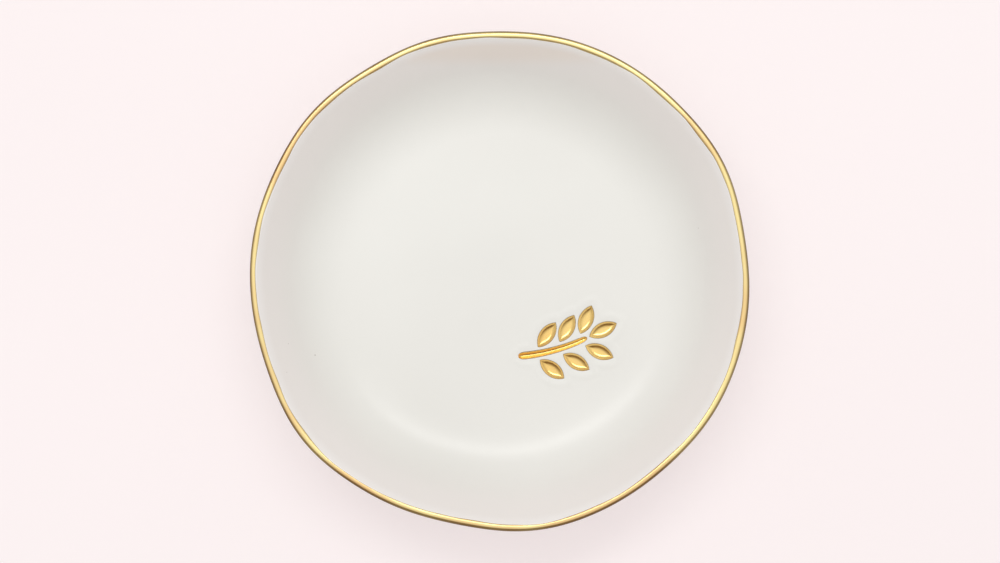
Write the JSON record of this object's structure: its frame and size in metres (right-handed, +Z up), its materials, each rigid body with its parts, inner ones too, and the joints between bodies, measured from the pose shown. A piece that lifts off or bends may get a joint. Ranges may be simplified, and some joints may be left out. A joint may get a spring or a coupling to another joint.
{
  "type": "ring dish",
  "caption": "Small round ceramic ring dish with a wavy gilded lip, leaning walls, a soft bend to a flat floor, a pressed gilded sprig and a bare foot ring.",
  "frame": {"origin": "on the table, at the middle of the foot ring", "axes": "+Z up through the middle of the dish; +X to the right and +Y to the top of the picture, which looks straight down"},
  "size_m": [0.0997, 0.1, 0.0181],
  "materials": {
    "fired_clay": "bare fired clay",
    "satin_glaze": "satin white glaze",
    "gold_lustre": "fired gold lustre"
  },
  "bodies": {
    "root": {"clay_body": "fired_clay", "glaze_coat": "satin_glaze", "rim_gilding": "gold_lustre", "sprig_gilding": "gold_lustre"}
  },
  "joints": []
}
